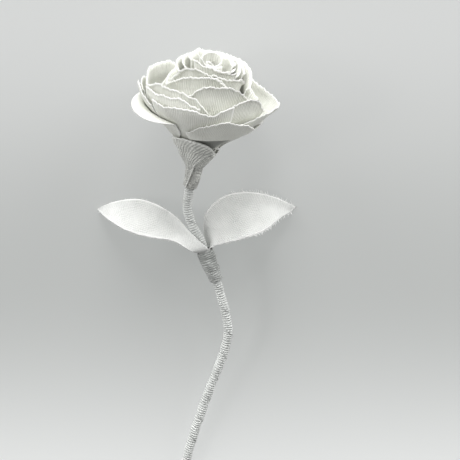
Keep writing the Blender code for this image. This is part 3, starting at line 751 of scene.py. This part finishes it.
def surface_sizes(surface):
    """Widest row, length of the middle column and mean width of a surface, in metres."""
    shares = [step / MEASURED_STEPS for step in range(MEASURED_STEPS + 1)]
    widths = []
    for row in range(MEASURED_ROWS + 1):
        widths.append(path_length([surface(-1 + 2 * share, row / MEASURED_ROWS) for share in shares]))
    length = path_length([surface(0, share) for share in shares])
    return max(widths), length, sum(widths) / len(widths)


def make_cloth(node, surface, thickness, material, step=GRID_STEP, painted_fold_shade=None):
    width, length, mean_width = surface_sizes(surface)
    columns = min(MOST_COLUMNS, max(FEWEST_COLUMNS, round(width / step)))
    rows = min(MOST_ROWS, max(FEWEST_ROWS, round(length / step)))
    piece = lay_out_grid(node + "_cloth", surface, width, length, columns, rows, painted_fold_shade)
    thicken(piece, thickness)
    piece.data.materials.append(material)
    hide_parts(node)
    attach(piece, "root")
    return piece, width, length


def above_tuck(u, height):
    return height - TUCK_HEIGHT - TUCK_TILT * u


def tuck_width(u):
    """The crease runs out at the petal's sides."""
    return 1 - u ** TUCK_POWER


def tuck(u, height):
    """How far the crease moves the tucked petal out, or in below it."""
    above = above_tuck(u, height)
    bulge = TUCK_BULGE * (1 - smooth(above / TUCK_RISE)) + TUCK_DEPTH
    fading = 1 - smooth(abs(above) / TUCK_RISE)
    return (bulge * smooth(above / TUCK_EDGE) - TUCK_DEPTH) * fading * tuck_width(u)


def rim_height(rim, u):
    return curve_point(rim, (u + 1) / 2 * (len(rim) - 1)) * MM


def below_tuck(layer, rim):
    """How far the tucked petal lies in its fold, which sets its painted shade: fully below the crease and not
    at all above it.
    """
    foot = foot_height(layer)

    def painted_fold_shade(u, v):
        height = foot + (rim_height(rim, u) - foot) * v
        return (1 - smooth(above_tuck(u, height) / TUCK_EDGE)) * tuck_width(u)

    return painted_fold_shade


def petal_surface(layer, azimuth, half_width, rim, lean=0.0, tucked=False):
    azimuth = math.radians(azimuth)
    half_width = math.radians(half_width)
    foot = foot_height(layer)
    spare = step_outside(layer) - LAYER_PITCH
    lip_reach = BUD_LIP_SHARE * spare if layer <= BUD_LAYERS else min(LIP_REACH, LIP_SHARE * spare)

    def surface(u, v):
        ripple = math.sin(RIPPLES[0] * u + layer + azimuth)
        ripple += RIPPLE_SHARE * math.sin(RIPPLES[1] * u + 2 * layer)
        nick_place = u * math.degrees(half_width) / NICK_ANGLE
        nick = noise.noise(Vector((nick_place, layer * NICK_DRAW[0], azimuth * NICK_DRAW[1])))
        top = rim_height(rim, u) + RIPPLE_HEIGHT * ripple + NICK_HEIGHT * nick
        height = foot + (top - foot) * v
        angle = azimuth + half_width * u * foot_narrowing(v)
        reach = FLARE_SHARE * step_outside(layer) + lean * MM * math.cos(math.pi / 2 * u) ** LEAN_POWER
        flare = smooth(1 - (top - height) / FLARE_HEIGHT) * reach
        lip = smooth(1 - (top - height) / LIP_HEIGHT) * lip_reach
        spot = Vector((angle * BUCKLE_TURNS, height / BUCKLE_HEIGHT, layer * BUCKLE_DRAW))
        buckle = noise.noise(spot) * BUCKLE_SHARE * spare * cup(height)
        if tucked:
            buckle += tuck(u, height)
        return head_point(angle, layer_radius(layer, angle, height) + flare + lip + buckle, height)

    return surface


def turned_surface(u, v):
    """The left petal follows the outer layer up, then curves out and down."""
    layer = len(LAYERS)
    foot = foot_height(layer)
    bend = TURNED_BEND_HEIGHT - TURNED_TILT * u
    climb = bend - foot
    cut = TURNED_CORNER_CUT * abs(u) ** TURNED_CORNER_POWER
    along = (climb + TURNED_LENGTH - cut) * v
    angle = TURNED_AZIMUTH + TURNED_HALF_WIDTH * u * foot_narrowing(v)
    height = foot + min(along, climb)
    radius = layer_radius(layer, angle, height)
    length = max(0.0, along - climb)
    for step in range(TURNED_CURVE_STEPS):
        share = (step + 0.5) / TURNED_CURVE_STEPS * length / TURNED_LENGTH
        pitch = TURNED_START_PITCH + (TURNED_END_PITCH - TURNED_START_PITCH) * share
        radius += math.cos(pitch) * length / TURNED_CURVE_STEPS
        height += math.sin(pitch) * length / TURNED_CURVE_STEPS
    return head_point(angle, radius, height)


def roll_surface(u, v):
    """A strip rolled round the wire, low inside and rising to its outer turn."""
    foot = WRAP_END + GAP
    turn = (u + 1) / 2 * ROLL_TURNS
    azimuth = ROLL_START + 2 * math.pi * turn
    rise = smooth(turn / (ROLL_TURNS - 1))
    rim = ROLL_CORE_HEIGHT + (ROLL_HEIGHT - ROLL_CORE_HEIGHT - ROLL_TILT * math.cos(azimuth)) * rise
    height = foot + (rim - foot) * v
    pitch = ROLL_FOOT_PITCH + (ROLL_TOP_PITCH - ROLL_FOOT_PITCH) * cup(height)
    return head_point(azimuth, ROLL_INNER + pitch * turn, height)


def calyx_radius(height):
    """Middle of the cloth: from the stem out over the feet of the petals, and on beside the last layer."""
    last = len(LAYERS)
    if height < FOOT_START:
        low = STEM_RADIUS + CALYX_RUCHE_DEPTH + CLOTH / 2
        share = (height - CALYX_FOOT) / (FOOT_START - CALYX_FOOT)
        return low + (foot_radius(0) + CALYX_CLEARANCE - low) * share
    if height < foot_height(last):
        return foot_radius((height - FOOT_START) / FOOT_RISE) + CALYX_CLEARANCE
    return foot_radius(last) + (rim_radius(last) - foot_radius(last)) * cup(height) + CALYX_CLEARANCE


def calyx_folds(azimuth, height):
    """Sharp diagonal pulls above, and short uneven ruches across the gathered part below."""
    gathered = 1 - smooth((height - CALYX_RUCHE_TOP) / CALYX_RUCHE_FADE)
    pull = abs(math.sin(CALYX_PULLS * azimuth + height / CALYX_PULL_RISE))
    spot = Vector((azimuth * CALYX_UNEVEN_TURNS, height / CALYX_UNEVEN_HEIGHT, CALYX_UNEVEN_DRAW))
    uneven = noise.noise(spot)
    angle = 2 * math.pi * height / CALYX_RUCHE_PITCH + CALYX_RUCHE_TURN * azimuth
    ruche = math.sin(angle + CALYX_RUCHE_WANDER * uneven)
    pull_depth = CALYX_PULL_DEPTH * pull * (1 - gathered) * (CALYX_PULL_SHARE + uneven)
    return pull_depth + CALYX_RUCHE_DEPTH * ruche * gathered


def calyx_surface(u, v):
    turn = (u + 1) / 2 * CALYX_TURNS
    azimuth = CALYX_SEAM + 2 * math.pi * (turn - CALYX_TURNS) - CALYX_SLANT * (1 - v)
    facing = max(0.0, math.cos(azimuth - CALYX_POINT_AZIMUTH))
    top = CALYX_TOP + CALYX_POINT * facing ** 2 + CALYX_WAVE * math.sin(CALYX_WAVES * azimuth)
    height = CALYX_FOOT + (top - CALYX_FOOT) * v
    rise = smooth((height - CALYX_PLEAT_START) / CALYX_PLEAT_RISE)
    pleat = CALYX_PLEAT_DEPTH * (1 + math.cos(CALYX_PLEATS * azimuth)) * rise
    widening = smooth((height - CALYX_FOOT) / (FOOT_START - CALYX_FOOT))
    lap = CALYX_FOOT_LAP + (CALYX_LAP - CALYX_FOOT_LAP) * widening
    edge = CALYX_ROLL * smooth(1 - (1 - u) / CALYX_ROLL_SHARE)
    radius = calyx_radius(height) + lap * turn + pleat + edge + calyx_folds(azimuth, height)
    return ring_point(height, azimuth, radius + sway(azimuth, height))


def make_petal(node, surface, seed, step=GRID_STEP, painted_fold_shade=None,
               lengths=THREAD_LENGTHS):
    piece, width, _ = make_cloth(node, surface, CLOTH, PETAL_COTTON,
                                 step, painted_fold_shade)
    add_threads(piece, surface, rim_spots(width), seed, lengths)


def make_head():
    for index, (_, petals) in enumerate(LAYERS):
        layer = index + 1
        for node, values in petals.items():
            azimuth, rim = values[0], values[2]
            if node == TUCKED_PETAL:
                surface = petal_surface(layer, *values, tucked=True)
                # below its crease this petal gets painted shade in its colour
                make_petal(node, surface, azimuth, step=FINE_GRID_STEP, painted_fold_shade=below_tuck(layer, rim))
            else:
                make_petal(node, petal_surface(layer, *values), azimuth)
    make_petal("turned_petal_left", turned_surface, seed=50)
    make_petal("bud_roll", roll_surface, seed=51, lengths=BUD_THREAD_LENGTHS)
    calyx, width, _ = make_cloth("calyx_wrap", calyx_surface, CLOTH, CALYX_COTTON,
                                 FINE_GRID_STEP)
    add_threads(calyx, calyx_surface, rim_spots(width), seed=52, lengths=CALYX_THREAD_LENGTHS)


# Leaves
def leaf_surface(leaf, tip_depth):
    upper = [Vector((x, 0, z)) * MM for x, z in leaf["upper"]]
    lower = [Vector((x, 0, z)) * MM for x, z in leaf["lower"]]
    foot_azimuth = math.radians(leaf["foot_azimuth"])
    middle = line_point(SEAT_LENGTH)[0].y
    tip_reach = tip_depth - middle

    def blade_point(u, share):
        position = share * (len(upper) - 1)
        high = curve_point(upper, position)
        low = curve_point(lower, position)
        width = (high - low).length
        lean = leaf["edge_lean"] * MM * math.sin(math.pi * share)
        front = leaf["front"] * MM * (1 - smooth(share / LEAF_FRONT_SHARE))
        back = middle - front + tip_reach * share ** LEAF_BACK_POWER + lean * u
        depth = leaf["channel"] * MM * width / LEAF_CHANNEL_WIDTH * (1 - LEAF_TIP_FLATTENING * share)
        depth *= smooth(share / LEAF_CHANNEL_START)
        point = low + (high - low) * (u + 1) / 2
        return Vector((point.x, back + depth * (1 - u * u), point.z))

    def surface(u, v):
        row = v * (LEAF_FOOT_ROWS + LEAF_BLADE_ROWS)
        azimuth = foot_azimuth + LEAF_FOOT_HALF_WIDTH * u
        if row <= LEAF_FOOT_ROWS:
            length = SEAT_LENGTH - LEAF_FOOT_LENGTH * (1 - row / LEAF_FOOT_ROWS)
            return ring_point(length, azimuth, LEAF_FOOT_RADIUS)
        share = (row - LEAF_FOOT_ROWS) / LEAF_BLADE_ROWS
        blend = smooth((row - LEAF_FOOT_ROWS) / LEAF_BLEND_ROWS)
        rise = ring_point(SEAT_LENGTH + share * LEAF_RISE, azimuth, LEAF_FOOT_RADIUS + share * LEAF_OPENING)
        return rise.lerp(blade_point(u, share), blend)

    return surface


def make_leaves():
    upright = LYING.inverted()
    line = upright.to_3x3() @ Vector((0, 0, 1))
    floor = upright @ Vector((0, 0, 0))
    for index, (node, leaf) in enumerate(LEAVES.items()):
        tip_x, tip_z = leaf["upper"][-1]
        tip = Vector((tip_x, 0, tip_z)) * MM
        tip_depth = floor.y - (tip.z - floor.z) * line.z / line.y - TIP_LIFT - LEAF_CLOTH / 2
        surface = leaf_surface(leaf, tip_depth)
        piece, _, length = make_cloth(node, surface, LEAF_CLOTH, LEAF_COTTON,
                                      LEAF_GRID_STEP)
        spots, frayed = [], []
        for side in (1, -1):
            spots += side_spots(length, side, LEAF_THREADS_FROM, LEAF_THREADS_TO)
            frayed += side_spots(length, side, FRAYED_FROM[side], FRAYED_TO)
        tip_spots = rim_spots(LEAF_TIP_WIDTH)
        add_threads(piece, surface, spots + tip_spots, seed=60 + index, lengths=LEAF_THREAD_LENGTHS)
        if node == FRAYED_LEAF:
            add_threads(piece, surface, frayed + tip_spots, seed=70, lengths=FRAY_LENGTHS,
                        radius=FRAY_RADIUS)


# Wound strips
SLEEVE_RING_STEP = 0.22 * MM
SLEEVE_SIDES = 28
SEAM_WELD = 0.01 * MM       # vertices nearer than this along the grid's closed seam are one
FAR_FROM_EDGE = (9.0, 9.0)  # millimetres: a sleeve has no raw edge, so it shows none of the painted edge highlight
STEM_RIB_PITCH = 1.3 * MM   # the strip lies in ribs round the stem
STEM_RIB_DEPTH = 0.1 * MM
STEM_UNEVEN_LENGTH = 8 * MM  # it is uneven from here to there along the stem
STEM_UNEVEN_DEPTH = 0.15 * MM
SEAM_STEP = 0.35 * MM  # where one turn ends on the next
TIE_FOLDS = 8  # the tie's folds run this many radians round it from end to end
TIE_FOLD_DEPTH = 0.4 * MM
TIE_UNEVEN_CHANGES = 5  # changes of their unevenness from end to end
TIE_RIB_TURN = 2        # radians by which its ribs run on per radian round it
TIE_RIB_WANDER = 3      # and by which they wander


def uneven_noise(azimuth, along):
    return noise.noise(Vector((math.cos(azimuth), math.sin(azimuth), along)))


def make_sleeve(node, start, end, inner, outer, material):
    """A wound tube: a grid closed round the stem at outer(share, azimuth), thickened inwards."""
    length = end - start
    radius = outer(0.5, 0)
    piece, flat = new_grid(node + "_cloth", SLEEVE_SIDES, round(length / SLEEVE_RING_STEP))
    mesh = piece.data
    for vertex, (u, share) in zip(mesh.vertices, flat):
        azimuth = 2 * math.pi * ((u + 1) / 2)
        vertex.co = LYING @ ring_point(start + length * share, azimuth, outer(share, azimuth))
    write_uvs(mesh, flat,
              lambda u, share: ((u + 1) / 2 * 2 * math.pi * radius / MM, share * length / MM),
              lambda u, share: FAR_FROM_EDGE)
    bpy.ops.object.mode_set(mode="EDIT")
    bpy.ops.mesh.select_all(action="SELECT")
    bpy.ops.mesh.remove_doubles(threshold=SEAM_WELD)
    bpy.ops.object.mode_set(mode="OBJECT")
    thicken(piece, radius - inner(0.5), offset=-1)
    mesh.materials.append(material)
    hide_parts(node)
    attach(piece, "root")


def wrap_inner(share):
    return WIRE_RADIUS + GAP


def make_stem_wrap():
    length = WRAP_END - STEM_FOOT

    def outer(share, azimuth):
        along = share * length
        turn = along / STRIP_PITCH + azimuth / (2 * math.pi)
        uneven = uneven_noise(azimuth, along / STEM_UNEVEN_LENGTH)
        rib = STEM_RIB_DEPTH * math.sin(2 * math.pi * along / STEM_RIB_PITCH + azimuth + uneven)
        return STEM_RADIUS - SEAM_STEP * (turn % 1.0) + rib + STEM_UNEVEN_DEPTH * uneven

    make_sleeve("stem_wrap", STEM_FOOT, WRAP_END, wrap_inner, outer, STEM_COTTON)


def tie_inner(share):
    from_top = (1 - share) * TIE_LENGTH
    narrowing = smooth((from_top - TIE_NECK) / (TIE_LENGTH - TIE_NECK))
    return TIE_INNER + (TIE_LOW_INNER - TIE_INNER) * narrowing


def make_leaf_tie():
    end = SEAT_LENGTH - TIE_BELOW_SEAT

    def outer(share, azimuth):
        turn = share * TIE_TURNS + azimuth / (2 * math.pi)
        thickness = TIE_FOOT_THICKNESS + (TIE_THICKNESS - TIE_FOOT_THICKNESS) * share
        uneven = uneven_noise(azimuth, share * TIE_UNEVEN_CHANGES)
        fold = TIE_FOLD_DEPTH * abs(math.sin(azimuth + TIE_FOLDS * share + uneven))
        angle = 2 * math.pi * share * TIE_LENGTH / STEM_RIB_PITCH + TIE_RIB_TURN * azimuth
        rib = STEM_RIB_DEPTH * math.sin(angle + TIE_RIB_WANDER * uneven)
        return tie_inner(share) + thickness + STRIP_STEP * (1 - turn % 1.0) + fold + rib

    make_sleeve("leaf_tie", end - TIE_LENGTH, end, tie_inner, outer, SHADED_TIE_COTTON)


def dress_wire():
    wire = frame["nodes"]["stem_wire"]
    wire.data.materials.clear()
    wire.data.materials.append(make_steel())


# Stage
FLOOR_SIZE = 4.0
FLOOR_GREY = "E4E5E4"
# The floor as the camera sees it carries painted shade: darkest in a band beside the leaves and paler towards
# both ends
SHOWN_ABOVE = "D0D2D1"      # the tone that the camera sees beyond the head
SHOWN_BELOW = "F2F4F3"      # beyond the stem's end
SHOWN_MIDDLE = "ABAEAC"     # and beside the leaves
SHOWN_MIDDLE_AT = -10 * MM  # place of that darkest band along the rose
SHOWN_BAND = 150 * MM       # distance from it over which the floor grows pale
SHOWN_SHARE = 0.7           # how much of the floor's own tone the camera sees, and how little of the shadow
LIGHT_FROM_BELOW = 0.22     # strength of the even light that comes from the stem's end
LIGHT_FROM_ABOVE = 0.58     # and from beyond the head
LEFT_LAMP_ENERGY = 1.0
RIGHT_LAMP_ENERGY = 1.3
TOP_LAMP_ENERGY = 2.5
LAMP_ANGLE = 35  # degrees
FILL_LAMP_ENERGY = 0.5
FILL_LAMP_ANGLE = 12


def place_along(tree, output):
    """Y of the texture coordinate of this name."""
    place = add_node(tree, "TexCoord").outputs[output]
    return add_node(tree, "SeparateXYZ", links={"Vector": place}).outputs[1]


def make_floor():
    bpy.ops.object.select_all(action="DESELECT")
    bpy.ops.mesh.primitive_plane_add(size=FLOOR_SIZE)
    floor = bpy.context.object
    floor.name = "floor"
    material, tree = new_material("matt_grey_card")
    rays = add_node(tree, "LightPath").outputs
    seen = add_math(tree, "MAXIMUM", rays["Is Camera Ray"],
                    add_math(tree, "MAXIMUM", rays["Is Glossy Ray"], rays["Is Transmission Ray"]))
    card = add_node(tree, "BsdfDiffuse", values={"Color": colour(FLOOR_GREY)})
    along = place_along(tree, "Object")
    # painted shade on the floor: its shown tone darkens towards the band beside the leaves
    distance = add_math(tree, "ABSOLUTE", add_math(tree, "SUBTRACT", along, SHOWN_MIDDLE_AT))
    share = add_range(tree, distance, from_max=SHOWN_BAND)
    share.interpolation_type = "SMOOTHSTEP"
    beyond = add_math(tree, "GREATER_THAN", along, SHOWN_MIDDLE_AT)
    end = add_mix(tree, beyond, colour(SHOWN_BELOW), colour(SHOWN_ABOVE))
    tone = add_mix(tree, share.outputs[0], colour(SHOWN_MIDDLE), end)
    glow = add_node(tree, "Emission", values={"Strength": 1.0}, links={"Color": tone})
    mix = add_node(tree, "MixShader", links={0: add_math(tree, "MULTIPLY", seen, SHOWN_SHARE)})
    tree.links.new(card.outputs[0], mix.inputs[1])
    tree.links.new(glow.outputs[0], mix.inputs[2])
    add_node(tree, "OutputMaterial", links={"Surface": mix.outputs[0]})
    floor.data.materials.append(material)


def make_light(name, direction, energy, angle):
    """A distant soft lamp; direction points from the upright rose to the lamp."""
    data = bpy.data.lights.new(name, "SUN")
    data.energy = energy
    data.angle = math.radians(angle)
    lamp = new_object(data)
    lamp.matrix_world = LYING @ Vector(direction).to_track_quat("Z", "Y").to_matrix().to_4x4()


def make_lighting():
    world = bpy.data.worlds.new("studio")
    bpy.context.scene.world = world
    world.use_nodes = True
    tree = world.node_tree
    background = tree.nodes["Background"]
    background.inputs["Color"].default_value = (1, 1, 1, 1)
    strength = add_range(tree, place_along(tree, "Generated"), from_min=-1.0, to_min=LIGHT_FROM_BELOW,
                         to_max=LIGHT_FROM_ABOVE).outputs[0]
    tree.links.new(strength, background.inputs["Strength"])
    make_light("above_left", (-0.8, -0.25, 0.65), LEFT_LAMP_ENERGY, LAMP_ANGLE)
    make_light("above_right", (0.8, -0.25, 0.65), RIGHT_LAMP_ENERGY, LAMP_ANGLE)
    make_light("straight_above", (0, -0.2, 1), TOP_LAMP_ENERGY, LAMP_ANGLE)
    make_light("low_left", (-0.85, -0.6, 0.12), FILL_LAMP_ENERGY, FILL_LAMP_ANGLE)


make_camera()
make_floor()
make_lighting()
bpy.context.scene.view_settings.view_transform = "Standard"
make_stem_wrap()
make_leaf_tie()
make_leaves()
make_head()
dress_wire()
